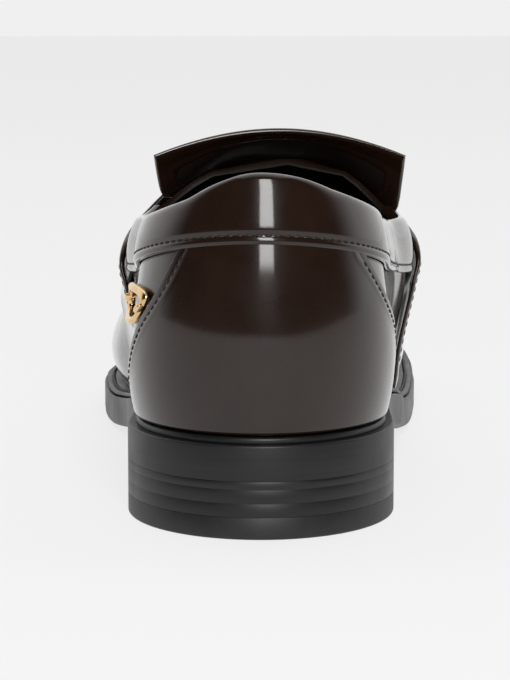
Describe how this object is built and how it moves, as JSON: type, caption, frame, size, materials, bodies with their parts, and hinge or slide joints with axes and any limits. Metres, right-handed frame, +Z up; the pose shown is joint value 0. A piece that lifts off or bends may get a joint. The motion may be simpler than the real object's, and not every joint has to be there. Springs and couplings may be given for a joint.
{
  "type": "tassel loafer",
  "caption": "Left slip-on loafer of glossy leather with saddle strap, standing tongue, tassels on the vamp and a stacked heel.",
  "frame": {"origin": "middle of the shoe's plan box, on the floor that the sole stands on", "axes": "+Y towards the toe, +X towards the inner side of the left foot, +Z up"},
  "size_m": [0.1012, 0.298, 0.0947],
  "materials": {
    "brown_leather": "high gloss brushed-off leather, very dark brown",
    "lining_leather": "matt smooth lining",
    "black_sole_leather": "black burnished edge, semi-matt",
    "black_rubber": "matt black",
    "gold_metal": "polished pale gold"
  },
  "bodies": {
    "root": {"upper": "brown_leather", "counter": "brown_leather", "collar_band": "brown_leather", "saddle_strap": "brown_leather", "tongue": "brown_leather", "lace": "brown_leather", "knot": "brown_leather", "tassel_outer": "brown_leather", "tassel_inner": "brown_leather", "insole": "lining_leather", "welt": "black_sole_leather", "outsole": "black_sole_leather", "heel_stack": "black_sole_leather", "top_piece": "black_rubber", "quarter_ring": "gold_metal"}
  },
  "joints": []
}
